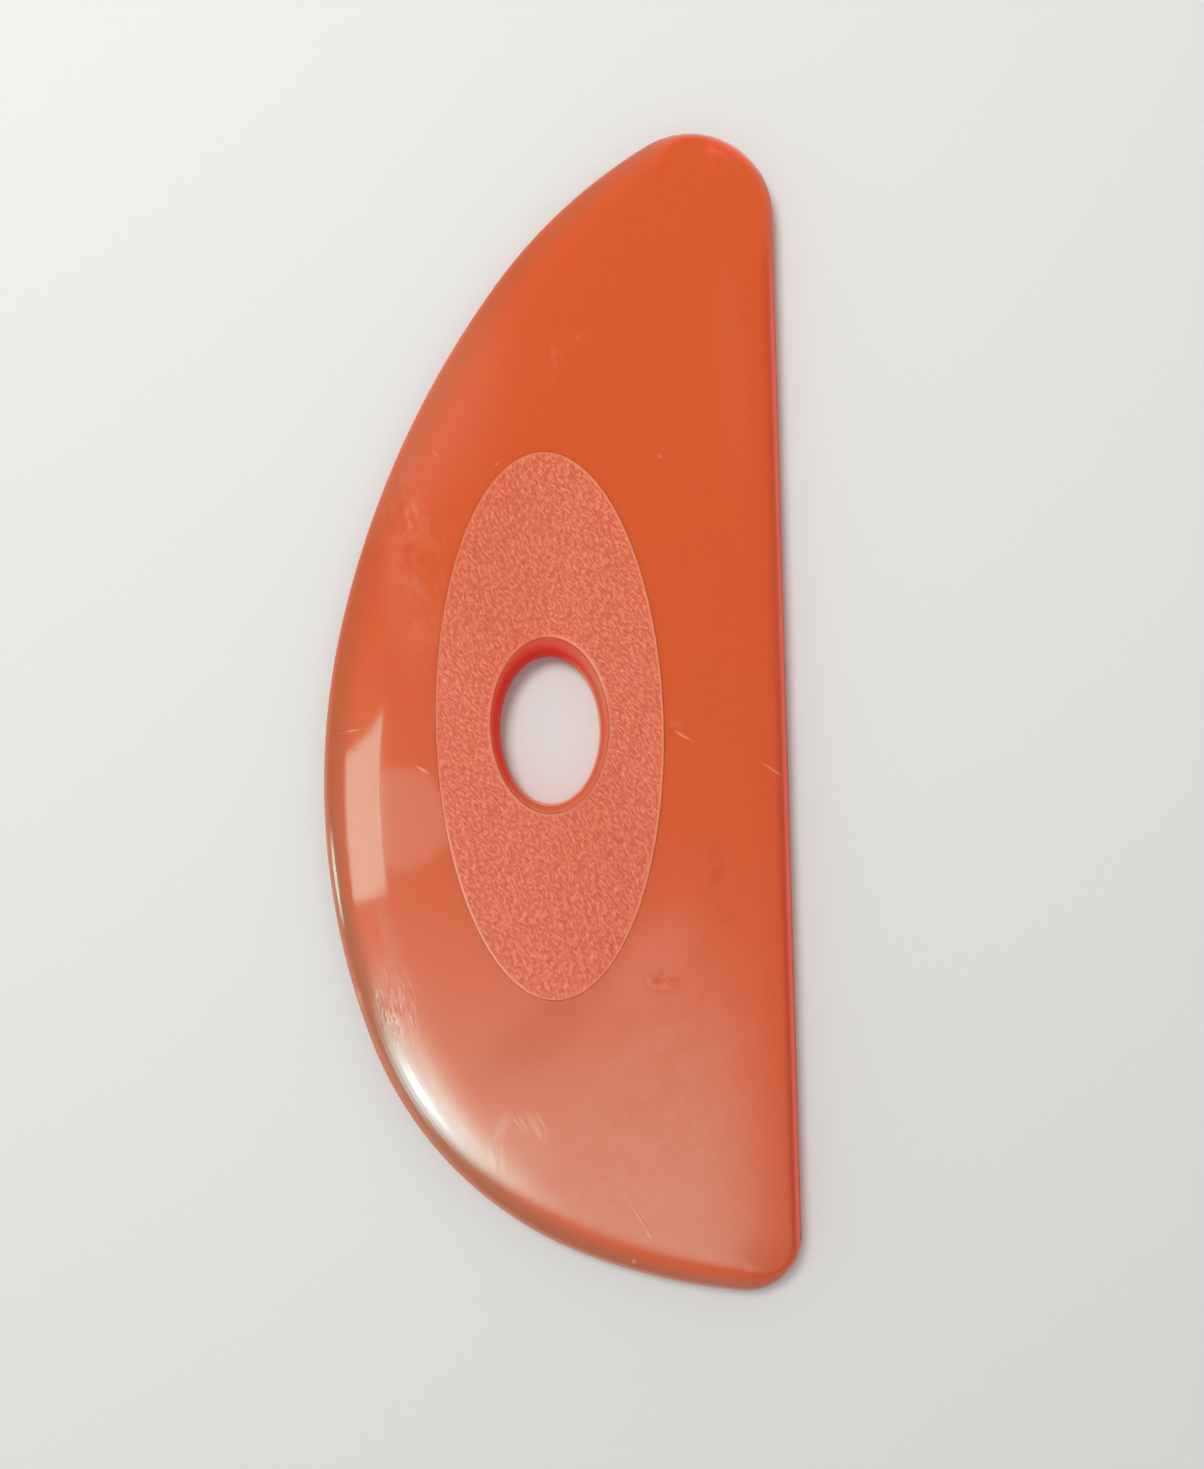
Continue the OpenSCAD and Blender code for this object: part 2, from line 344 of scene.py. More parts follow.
def makeBlade(material):
    outline = outlineMesh()
    inputs = bladeInputs(outline, material)
    tree, size = newTree("ribBladeTree", inputs)
    half = size["Thickness"] / 2
    faceHeight = half - size["Pad Proud"]

    def strip(rows, shape):
        # shape says where the row's share of the way across lies, from one outline spot
        grid, column, share = gridBand(tree, size["Points Round"], rows)
        spot = calc(tree, "MODULO", column, size["Points Round"])
        place = sampled(tree, size["Geometry"], "FLOAT_VECTOR",
                        Wire(tree, addNode(tree, "GeometryNodeInputPosition").outputs[0]), spot)
        outward = sampled(tree, size["Geometry"], "FLOAT_VECTOR",
                          named(tree, "FLOAT_VECTOR", "outward"), spot)
        straight = sampled(tree, size["Geometry"], "FLOAT",
                           named(tree, "FLOAT", "straightShare"), spot)
        soft = sampled(tree, size["Geometry"], "FLOAT", named(tree, "FLOAT", "softShare"), spot)
        x, y = partsOf(tree, place)[:2]
        outX, outY = partsOf(tree, outward)[:2]
        lip = blend(straight, size["Curve Lip"], size["Straight Lip"])
        bevel = blend(straight, size["Curve Bevel"], size["Straight Bevel"])
        bevel = bevel + soft * size["Soft Extra"]
        power = soft + 2
        rise = faceHeight - lip / 2
        slope = calc(tree, "ARCTANGENT", power * rise / bevel)
        lipRadius = lip / 2 / calc(tree, "COSINE", slope)
        lipRun = lipRadius * (1 - calc(tree, "SINE", slope))

        def fromEdge(inset):
            return x - outX * inset, y - outY * inset

        def onOval(semiX, semiY):
            dx = x - size["Middle X"]
            dy = y - size["Middle Y"]
            squares = dx * dx / (semiX * semiX) + dy * dy / (semiY * semiY)
            reach = calc(tree, "INVERSE_SQRT", squares)
            return size["Middle X"] + dx * reach, size["Middle Y"] + dy * reach

        local = {"share": share, "lipRadius": lipRadius, "lipRun": lipRun, "slope": slope,
                 "bevel": bevel, "rise": rise, "power": power, "fromEdge": fromEdge,
                 "onOval": onOval}
        (px, py), height, across = shape(local)
        return placed(tree, grid, vectorOf(tree, px, py, height), {"acrossBlade": across})

    pocketX = size["Pocket Width"] / 2
    pocketY = size["Pocket Length"] / 2
    rimX = size["Hole Width"] / 2 + size["Rim Side"]
    rimY = size["Hole Length"] / 2 + size["Rim End"]

    def lipShape(s):
        turn = (math.pi / 2 - s["slope"]) * s["share"]
        inset = s["lipRadius"] * (1 - calc(tree, "COSINE", turn))
        return s["fromEdge"](inset), s["lipRadius"] * calc(tree, "SINE", turn), s["share"]

    def bevelShape(s):
        drop = s["rise"] * calc(tree, "POWER", 1 - s["share"], s["power"])
        inset = s["lipRun"] + s["bevel"] * s["share"]
        return s["fromEdge"](inset), faceHeight - drop, s["share"] + 1

    def faceShape(s):
        startX, startY = s["fromEdge"](s["lipRun"] + s["bevel"])
        endX, endY = s["onOval"](pocketX, pocketY)
        spot = (blend(s["share"], startX, endX), blend(s["share"], startY, endY))
        return spot, faceHeight, s["share"] + 2

    def wallShape(s):
        height = blend(s["share"], faceHeight, size["Pocket Floor"])
        return s["onOval"](pocketX, pocketY), height, 3

    def floorShape(s):
        semiX = blend(s["share"], pocketX, rimX)
        semiY = blend(s["share"], pocketY, rimY)
        return s["onOval"](semiX, semiY), size["Pocket Floor"], 3

    def innerWallShape(s):
        height = blend(s["share"], size["Pocket Floor"], half)
        return s["onOval"](rimX, rimY), height, 3

    def rimShape(s):
        turn = s["share"] * (math.pi / 2)
        left = 1 - calc(tree, "SINE", turn)
        semiX = size["Hole Width"] / 2 + size["Rim Side"] * left
        semiY = size["Hole Length"] / 2 + size["Rim End"] * left
        rimPointX, rimPointY = s["onOval"](semiX, semiY)
        down = 1 - left
        spot = (rimPointX - down * size["Hole Shift"], rimPointY - down * size["Hole Drop"])
        return spot, half * calc(tree, "COSINE", turn), s["share"] + 3

    upper = welded(tree, [
        strip(blade["lipRows"], lipShape),
        strip(blade["bevelRows"], bevelShape),
        strip(blade["faceRows"], faceShape),
        strip(blade["wallRows"], wallShape),
        strip(blade["floorRows"], floorShape),
        strip(blade["wallRows"], innerWallShape),
        strip(blade["rimRows"], rimShape),
    ])
    lower = addNode(tree, "GeometryNodeTransform", Geometry=upper, Scale=(1, 1, -1))
    lower = addNode(tree, "GeometryNodeFlipFaces", Mesh=Wire(tree, lower.outputs[0]))
    both = welded(tree, [upper, Wire(tree, lower.outputs[0])])
    raised = addNode(tree, "GeometryNodeTransform", Geometry=both, Translation=(0, 0, midHeight))
    finishTree(tree, Wire(tree, raised.outputs[0]), size["Material"], blade["sharpFold"])
    piece = runTree("rib_blade", outline, tree, inputs)
    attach(piece, "root")
    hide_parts("blade")
    print("blade made,", len(piece.data.polygons), "faces")
    return piece


# the pebbled oval ring that lies in a pocket on each face
grip = {
    "pointsRound": 900,
    "wallRows": 2,
    "edgeRows": 3,
    "topRows": 92,
    "edgeRound": 0.12 * mm,
    "innerRound": 0.3,                 # the edge round the hole, as a share of that
    "sharpFold": 60,
    "grainDepth": 0.17 * mm,
    "grainLength": 1.05 * mm,
    "grainWidth": 0.46 * mm,
    "grainTurn": -45,                  # degrees, the way the grain leans
    "grainFade": 0.35 * mm,            # the grain dies out this close to the outer edge
    "innerFade": 2,                    # and this many times as far from the hole
    "edgeMark": 0.6,                   # the mark it writes where it has died out
    "gleam": 0.8,                      # painted highlight: how far that rises where an edge slopes to the lower left
    "gleamTurn": 50,                   # degrees, the way from the lower left
    "gleamSpread": (0.7, 0.95),
    "wanderScale": 0.9,                # how tightly the rows of pebbles wind, and how far
    "wander": 0.8,
    "melt": 0.35,                      # how far neighbouring pebbles run into each other
    "flank": (0.05, 0.75),             # from a pebble's top to its valley
    "swellScale": 1.5,                 # a second set of lumps that lies over the pebbles
    "swell": (0.34, 0.66),
    "swellShare": 0.65,
}


def gripInputs(low, high, seed, material):
    number = "NodeSocketFloat"
    return {
        "Points Round": ("NodeSocketInt", grip["pointsRound"]),
        "Width": (number, high.x - low.x),
        "Length": (number, high.y - low.y),
        "Thickness": (number, high.z - low.z),
        "Hole Width": (number, blade["holeWidth"] + 2 * (blade["rimSide"] + blade["padGap"])),
        "Hole Length": (number, blade["holeLength"] + 2 * (blade["rimEnd"] + blade["padGap"])),
        "Middle X": (number, (high.x + low.x) / 2),
        "Middle Y": (number, (high.y + low.y) / 2),
        "Edge Round": (number, grip["edgeRound"]),
        "Grain Depth": (number, grip["grainDepth"]),
        "Grain Length": (number, grip["grainLength"]),
        "Grain Width": (number, grip["grainWidth"]),
        "Grain Turn": (number, math.radians(grip["grainTurn"])),
        "Grain Fade": (number, grip["grainFade"]),
        "Grain Seed": (number, seed),
        "Material": ("NodeSocketMaterial", material),
    }


def ovalGap(tree, dx, dy, semiX, semiY):
    # how far inside an oval's edge a point lies, right to a hair near that edge
    across = dx / semiX
    along = dy / semiY
    reach = calc(tree, "SQRT", across * across + along * along)
    steepX = across / semiX
    steepY = along / semiY
    steep = calc(tree, "SQRT", steepX * steepX + steepY * steepY) / reach
    return (1 - reach) / steep


def grainHeight(tree, size, dx, dy):
    # pebbles drawn out along the way the grain leans, from 0 in the valleys to 1 on top
    cosTurn = calc(tree, "COSINE", size["Grain Turn"])
    sinTurn = calc(tree, "SINE", size["Grain Turn"])
    along = (dx * cosTurn + dy * sinTurn) / size["Grain Length"]
    across = (dy * cosTurn - dx * sinTurn) / size["Grain Width"]
    spot = vectorOf(tree, along, across, size["Grain Seed"])
    wander = addNode(tree, "ShaderNodeTexNoise", {"noise_dimensions": "3D"}, Vector=spot,
                     Scale=grip["wanderScale"], Detail=1.0, Roughness=0.5)
    drift = addNode(tree, "ShaderNodeVectorMath", {"operation": "SCALE"})
    plug(tree, Wire(tree, wander.outputs["Color"]), drift.inputs[0])
    plug(tree, grip["wander"], drift.inputs["Scale"])
    moved = addNode(tree, "ShaderNodeVectorMath", {"operation": "ADD"})
    plug(tree, spot, moved.inputs[0])
    plug(tree, Wire(tree, drift.outputs[0]), moved.inputs[1])
    cells = addNode(tree, "ShaderNodeTexVoronoi", {"feature": "SMOOTH_F1"},
                    Vector=Wire(tree, moved.outputs[0]), Scale=1.0, Smoothness=grip["melt"])
    pebble = 1 - smooth(tree, Wire(tree, cells.outputs["Distance"]), *grip["flank"])
    swell = addNode(tree, "ShaderNodeTexNoise", {"noise_dimensions": "3D"}, Vector=spot,
                    Scale=grip["swellScale"], Detail=2.0, Roughness=0.6)
    lumps = smooth(tree, Wire(tree, swell.outputs[0]), *grip["swell"])
    return pebble * (1 - grip["swellShare"]) + lumps * grip["swellShare"]


def makeGrip(name, node, faceUp, seed, material):
    low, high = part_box(node)
    inputs = gripInputs(low, high, seed, material)
    tree, size = newTree(name + "_tree", inputs)
    outerX = size["Width"] / 2
    outerY = size["Length"] / 2
    innerX = size["Hole Width"] / 2
    innerY = size["Hole Length"] / 2
    edge = size["Edge Round"]
    inner = edge * grip["innerRound"]
    top = size["Thickness"]

    def strip(rows, shape, grained=False):
        # shape gives a row's distance in from the outer oval and out from the inner one, how far
        # it has come from the one to the other, and its height
        grid, column, share = gridBand(tree, size["Points Round"], rows)
        turn = column / size["Points Round"] * (2 * math.pi)
        fromOuter, fromInner, towardsInner, height = shape(share)
        # painted highlight on the edges that face the lower left
        facing = calc(tree, "COSINE", turn - math.radians(grip["gleamTurn"]))
        outerGleam = smooth(tree, facing * -1, *grip["gleamSpread"])
        innerGleam = smooth(tree, facing, *grip["gleamSpread"])
        even = blend(towardsInner, outerGleam, innerGleam) * grip["gleam"] + grip["edgeMark"]
        semiX = blend(towardsInner, outerX - fromOuter, innerX + fromInner)
        semiY = blend(towardsInner, outerY - fromOuter, innerY + fromInner)
        dx = semiX * calc(tree, "COSINE", turn)
        dy = semiY * calc(tree, "SINE", turn)
        grain = even
        if grained:
            fade = size["Grain Fade"]
            outerGap = ovalGap(tree, dx, dy, outerX, outerY)
            innerGap = ovalGap(tree, dx, dy, innerX, innerY) * -1
            outerFade = smooth(tree, outerGap, edge, edge + fade)
            innerFade = smooth(tree, innerGap, 0, fade * grip["innerFade"])
            sunk = (1 - grainHeight(tree, size, dx, dy)) * outerFade
            height = height - sunk * innerFade * size["Grain Depth"]
            grain = blend(innerFade * outerFade, even, 1 - sunk)
        spot = vectorOf(tree, dx + size["Middle X"], dy + size["Middle Y"], height)
        return placed(tree, grid, spot, {"grain": grain})

    def outerEdge(share):
        turn = share * (math.pi / 2)
        inset = edge * (1 - calc(tree, "COSINE", turn))
        return inset, 0, 0, top - edge * (1 - calc(tree, "SINE", turn))

    def innerEdge(share):
        turn = share * (math.pi / 2)
        inset = inner * (1 - calc(tree, "SINE", turn))
        return 0, inset, 1, top - inner * (1 - calc(tree, "COSINE", turn))

    ring = welded(tree, [
        strip(grip["wallRows"], lambda share: (0, 0, 0, (top - edge) * share)),
        strip(grip["edgeRows"], outerEdge),
        strip(grip["topRows"], lambda share: (edge, inner, share, top), grained=True),
        strip(grip["edgeRows"], innerEdge),
        strip(grip["wallRows"], lambda share: (0, 0, 1, (top - inner) * (1 - share))),
        strip(grip["wallRows"], lambda share: (0, 0, 1 - share, 0)),
    ])
    rise = low.z
    if not faceUp:
        turned = addNode(tree, "GeometryNodeTransform", Geometry=ring, Scale=(1, 1, -1))
        flipped = addNode(tree, "GeometryNodeFlipFaces", Mesh=Wire(tree, turned.outputs[0]))
        ring = Wire(tree, flipped.outputs[0])
        rise = high.z
    raised = addNode(tree, "GeometryNodeTransform", Geometry=ring, Translation=(0, 0, rise))
    finishTree(tree, Wire(tree, raised.outputs[0]), size["Material"], grip["sharpFold"])
    piece = runTree(name, bpy.data.meshes.new(name + "Source"), tree, inputs)
    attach(piece, "root")
    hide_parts(node)
    print(name, "made,", len(piece.data.polygons), "faces")
    return piece


# materials
polish = {
    "colour": (0.70, 0.093, 0.011, 1),
    "thinShadeHigh": (0.53, 0.083, 0.010, 1),  # painted shade where the long curve is thin, above and below
    "thinShadeLow": (0.43, 0.093, 0.020, 1),
    "edgeShadeRed": (0.50, 0.036, 0.004, 1),    # painted shade along the straight edge
    "edgeHighlightLine": (0.84, 0.105, 0.040, 1),   # painted highlight: the fine line that the light draws on it
    "rimTopLit": (0.75, 0.142, 0.068, 1),     # where the hole's rim meets the grip, with painted light on the right and painted shade on the left
    "rimShade": (0.66, 0.065, 0.028, 1),
    "litRed": (0.58, 0.105, 0.045, 1),     # down in the hole, with painted light on the right and painted shade on the left
    "deepShadeRed": (0.70, 0.020, 0.005, 1),
    "rimHighlightLine": (0.90, 0.27, 0.17, 1),      # painted highlight on the hole's inmost edge, on the right
    "wearAndSheen": (0.86, 0.36, 0.25, 1),         # the pale marks of use and painted sheen, and the dark marks of use and painted shade
    "bruiseAndShade": (0.46, 0.050, 0.006, 1),
    "glowRed": (0.95, 0.115, 0.050, 1),     # painted glow: the bright spot in the nose and the line beside it
    "roughness": 0.34,
    "roughHole": 0.2,                      # added to it in the hole
    "roughCloud": 0.1,                     # and where the surface is cloudy
    "haze": 0.25,                          # strength of the broad gloss of the body
    "glaze": 1.0,                          # weight of the sharp gloss on top
    "glazeRoughness": 0.05,
    "scuffed": 0.86,                       # the share of it that fine scuffs leave
    "scuffSpread": (0.3, 0.7),             # the range of their pattern over which they go
    "dulled": 0.8,                         # the share that it loses on the dark marks
    "folded": 0.95,                        # and on the straight edge
    "density": 1.48,                       # index of refraction
    "glow": 0.35,                          # share of light that goes through the surface
    "glowDepth": 2.5 * mm,
    "glowColour": (1.0, 0.22, 0.08),
    "cloud": (60, 3, 0.55),                # scale, detail and roughness of each pattern
    "scuff": (700, 3, 0.7),
    "cloudRise": 0.02,                     # height of each pattern, in mm
    "scuffRise": 0.0012,
}

# Where the blade's colours change, each as the range over which it comes or goes. "Across" is
# read from the blade's own mark: 0 at the middle of the edge, 1 where the bevel starts, 2 where
# the face starts, 3 at the grip and 4 at the hole's narrowest. "In" is the distance from the
# straight edge, and "along" the place along the rib.
zones = {
    "lowHalf": (-20 * mm, 20 * mm),        # along
    "straight": (3 * mm, 1 * mm),          # in
    "ends": ((-82 * mm, -74 * mm), (58 * mm, 72 * mm)),  # along: where the edge's red ends
    "thinFades": (0.98, 1.06),             # across: the painted shade of the thin curve fades from here, in the upper and in the lower half, and is gone here
    "thinEnds": (1.75, 1.5),               # and in the lower half, and is gone here
    "redFast": (0.6 * mm, 2.6 * mm),       # in: the red falls fast and then slowly
    "redSlow": (2.6 * mm, 6 * mm),
    "redFastShare": 0.88,
    "redHigh": 0.75,                       # its strength in the upper half
    "edgeHighlightLine": ((0.2 * mm, 0.45 * mm), (0.8 * mm, 1.1 * mm)),  # in
    "lipLine": ((0.3, 0.6), (1.0, 1.08)),  # across: the painted highlight on the lip
    "lipHighlightShares": (0.1, 0.3),               # in the upper and in the lower half
    "hole": (3.0, 3.05),                   # across, as are the next three
    "rimDeep": (3.02, 3.5),
    "rimHighlightLine": (3.5, 3.65),
    "fold": (1.2, 2.0),
    "litWay": (0.87, -0.5),                # from the hole's shaded side to its lit one
    "litReach": 4 * mm,
    "front": 0.3 * mm,                     # the marks of use and the painted light and shade fade in over this much height
    "dark": 0.5,                           # a dark mark this strong is dull through and through
}

# what all the marks below share
marking = {
    "bowMiddle": 0.4,                      # keeps a bent mark centred on its place
    "core": 0.25,                          # the middle of a soft oval that has full strength
    "stretch": 0.18,                       # of streaks, where a mark has none of its own
    "streakNoise": (1.0, 3, 0.6),          # scale, detail and roughness
    "streak": (0.43, 0.62),                # the range of that noise over which a streak comes
}

# Marks on the front face. Place and size are in mm, turn is in degrees, "bow" bends a mark,
# "streaks" is the width in mm of the fine lines that it is broken into, and "stretch" turns
# those lines into blots as it nears 1. The first two are painted glow, bright spots of light, and
# "share" is how strong they are.
glowSpots = {
    "spot": {"place": (25.4, 78.2), "size": (6.2, 4.2), "turn": -45, "streaks": 2.2,
             "stretch": 0.6, "share": 0.8},
    "line": {"place": (27.0, 79.0), "size": (11, 2.2), "turn": -34, "bow": 0.8, "share": 0.5},
}

# The rest are marks of use, with painted sheen, painted shade and a painted glint among them.
# "Pale" is how much one whitens the colour, and "rise" is its height in mm. A mark with a negative
# "pale" is darker and duller than the rest.
wearAndPaintedLight = {
    "slit": {"place": (-30.3, -2.2), "size": (3.4, 0.45), "turn": 1, "pale": -0.25, "rise": -0.05},
    "ridge": {"place": (-28.7, -1.6), "size": (2.6, 0.4), "turn": 7, "pale": 0.2, "rise": 0.02},
    "crescent": {"place": (-18.5, -7.5), "size": (2.7, 0.5), "turn": -33, "bow": 0.5, "pale": 0.5,
                 "rise": 0.03},
    "taper": {"place": (18.3, -3.6), "size": (3.8, 0.55), "turn": -32, "pale": 0.4, "rise": 0.03},
    "taperHalo": {"place": (17.4, -2.0), "size": (2.6, 1.6), "turn": -25, "pale": 0.12},
    "wiggle": {"place": (30.8, -8.8), "size": (4.8, 0.4), "turn": -35, "bow": 0.4, "pale": 0.35,
               "rise": 0.02},
    "fan": {"place": (-23.5, -40.2), "size": (16, 9), "turn": -79, "bow": 0.15, "pale": 0.3,
            "rise": 0.04, "streaks": 1.0},
    "blotchA": {"place": (-3.4, -58.1), "size": (6.5, 3.8), "turn": -64, "bow": 0.3, "pale": 0.42,
                "rise": 0.02, "streaks": 1.7},
    "blotchB": {"place": (-6.3, -57.9), "size": (5.0, 3.4), "turn": -56, "pale": 0.36,
                "rise": 0.02, "streaks": 1.4},
    "blotchC": {"place": (-8.9, -59.4), "size": (9.0, 3.2), "turn": -107, "pale": 0.4,
                "rise": 0.02, "streaks": 1.8},
    "blotchTail": {"place": (-9.4, -62.0), "size": (9.0, 4.0), "turn": -84, "pale": 0.2,
                   "rise": 0.01, "streaks": 2.2},
    # painted sheen: this mark and the next six are reflections painted as pale marks
    "blotchSheen": {"place": (-6.5, -60.5), "size": (17, 10), "turn": -50, "pale": 0.14},
    "sheenLeft": {"place": (-16, 43), "size": (48, 25), "turn": 62, "pale": 0.11},
    "sheenBelly": {"place": (-20.1, 14.9), "size": (27, 9.5), "turn": -85, "pale": 0.08},
    "sheenClouds": {"place": (-18.5, 22.5), "size": (44, 14), "turn": -80, "pale": 0.11,
               "streaks": 2.6, "stretch": 0.6},
    "sheenGrip": {"place": (13.5, -35), "size": (24, 12), "turn": 55, "pale": 0.12},
    "sheenRight": {"place": (26.5, 47), "size": (44, 6), "turn": -88, "pale": 0.04},
    "sheenLow": {"place": (14, -56), "size": (60, 34), "turn": 60, "pale": 0.06,
                "streaks": 3, "stretch": 0.7},
    # painted shade: this mark and the next are shade painted as dark marks
    "shadePatch": {"place": (-3.4, -45.0), "size": (29, 13), "turn": 38, "bow": -0.2, "pale": -0.2},
    "heelShade": {"place": (31.5, -81), "size": (26, 15), "turn": -40, "pale": -0.3},
    "scratch": {"place": (10.5, -71.3), "size": (10.5, 0.4), "turn": -59, "pale": 0.3,
                "rise": 0.01},
    "beads": {"place": (12.0, -73.8), "size": (5.0, 0.9), "turn": -55, "pale": 0.4, "rise": 0.02,
              "streaks": 0.7},
    "speck": {"place": (9.4, -77.5), "size": (1.0, 0.8), "turn": -38, "pale": 0.5, "rise": 0.02},
    "speckHigh": {"place": (-15.7, 37.4), "size": (1.6, 0.5), "turn": -58, "pale": 0.25,
                  "rise": 0.01},
    "speckRight": {"place": (16.1, 35.9), "size": (1.3, 0.7), "turn": -36, "pale": 0.3,
                   "rise": 0.01},
    "speckLeft": {"place": (-7.0, 35.5), "size": (0.8, 0.6), "turn": -33, "pale": 0.35,
                  "rise": 0.01},
    "smudge": {"place": (-19.8, 28.6), "size": (10, 4), "turn": -74, "bow": 0.3, "pale": 0.22,
               "rise": 0.006, "streaks": 1.5, "stretch": 0.5},
    "smudgeDark": {"place": (-19.4, 23.4), "size": (6, 4), "turn": -60, "pale": -0.2,
                   "streaks": 1.5, "stretch": 0.7},
    "faint": {"place": (1.5, 49.8), "size": (8, 2.4), "turn": -92, "bow": 0.5, "pale": 0.15,
              "rise": 0.004, "streaks": 1.3, "stretch": 0.6},
    "faintTop": {"place": (4.6, 53.0), "size": (6.5, 2.0), "turn": 10, "bow": 0.3, "pale": 0.13,
                 "rise": 0.004, "streaks": 1.3, "stretch": 0.6},
    # painted sheen: a reflection painted as a pale band
    "sheenSmear": {"place": (9.0, -50.0), "size": (34, 9), "turn": 42, "bow": 0.1, "pale": 0.04},
    "mottle": {"place": (14.3, -38.3), "size": (7, 4.6), "turn": -10, "pale": -0.45, "rise": 0.006,
               "streaks": 1.0, "stretch": 0.7},
    "rub": {"place": (22.8, -24.8), "size": (18, 7.5), "turn": -78, "pale": -0.3, "rise": 0.006,
            "streaks": 2.4, "stretch": 0.6},
    # painted glint: a small highlight painted as a pale mark
    "glintMark": {"place": (-28.5, -39.9), "size": (4.2, 1.3), "turn": -74, "pale": 0.5,
                "rise": 0.03, "streaks": 0.9},
}


def newMaterial(name):
    material = bpy.data.materials.new(name)
    material.use_nodes = True
    tree = material.node_tree
    return material, tree, tree.nodes["Principled BSDF"]


def setSockets(shader, **values):
    for name, value in values.items():
        shader.inputs[name.replace("_", " ")].default_value = value


def mixColour(tree, share, first, second):
    node = addNode(tree, "ShaderNodeMix", {"data_type": "RGBA", "clamp_factor": True})
    for value, slot in ((share, 0), (first, 6), (second, 7)):
        plug(tree, value, node.inputs[slot])
    return Wire(tree, node.outputs[2])


def mark(tree, name):
    node = addNode(tree, "ShaderNodeAttribute", {"attribute_name": name})
    return Wire(tree, node.outputs["Fac"])


def objectSpot(tree):
    return Wire(tree, addNode(tree, "ShaderNodeTexCoord").outputs["Object"])


def noise(tree, spot, scale, detail=2.0, roughness=0.5):
    node = addNode(tree, "ShaderNodeTexNoise", {"noise_dimensions": "3D"}, Vector=spot,
                   Scale=scale, Detail=detail, Roughness=roughness)
    return Wire(tree, node.outputs[0])


def stripe(tree, value, start, end):
    # comes over the first range and goes over the second
    return smooth(tree, value, *start) * (1 - smooth(tree, value, *end))


def leaning(x, y, turn):
    # the same spot, measured along a line that leans by "turn" and square to it
    return x * math.cos(turn) + y * math.sin(turn), y * math.cos(turn) - x * math.sin(turn)


def wearShape(tree, spot, one):
    # a soft oval, bent along its bow and broken into streaks where the mark says so
    x, y = partsOf(tree, spot)[:2]
    placeX, placeY = (part * mm for part in one["place"])
    length, width = (side * mm / 2 for side in one["size"])
    along, across = leaning(x - placeX, y - placeY, math.radians(one["turn"]))
    along = along / length
    across = across / width + (along * along - marking["bowMiddle"]) * one.get("bow", 0)
    reach = calc(tree, "SQRT", along * along + across * across)
    shape = 1 - smooth(tree, reach, marking["core"], 1)
    if "streaks" in one:
        fine = 1 / (one["streaks"] * mm)
        stretch = one.get("stretch", marking["stretch"])
        place = vectorOf(tree, along * (length * fine * stretch), across * (width * fine),
                         one["turn"])
        broken = noise(tree, place, *marking["streakNoise"])
        shape = shape * smooth(tree, broken, *marking["streak"])
    return shape


def rimColour(tree, across, x, y):
    # painted light and shade on the hole's rim: redder on its shaded side, with a painted
    # highlight line on the lit one
    wayX, wayY = zones["litWay"]
    aside = (x - padMiddle.x) * wayX + (y - padMiddle.y) * wayY
    lit = smooth(tree, aside, -zones["litReach"], zones["litReach"])
    top = mixColour(tree, lit, polish["rimShade"], polish["rimTopLit"])
    deep = mixColour(tree, lit, polish["deepShadeRed"], polish["litRed"])
    rim = mixColour(tree, smooth(tree, across, *zones["rimDeep"]), top, deep)
    line = smooth(tree, across, *zones["rimHighlightLine"]) * lit
    return mixColour(tree, line, rim, polish["rimHighlightLine"])


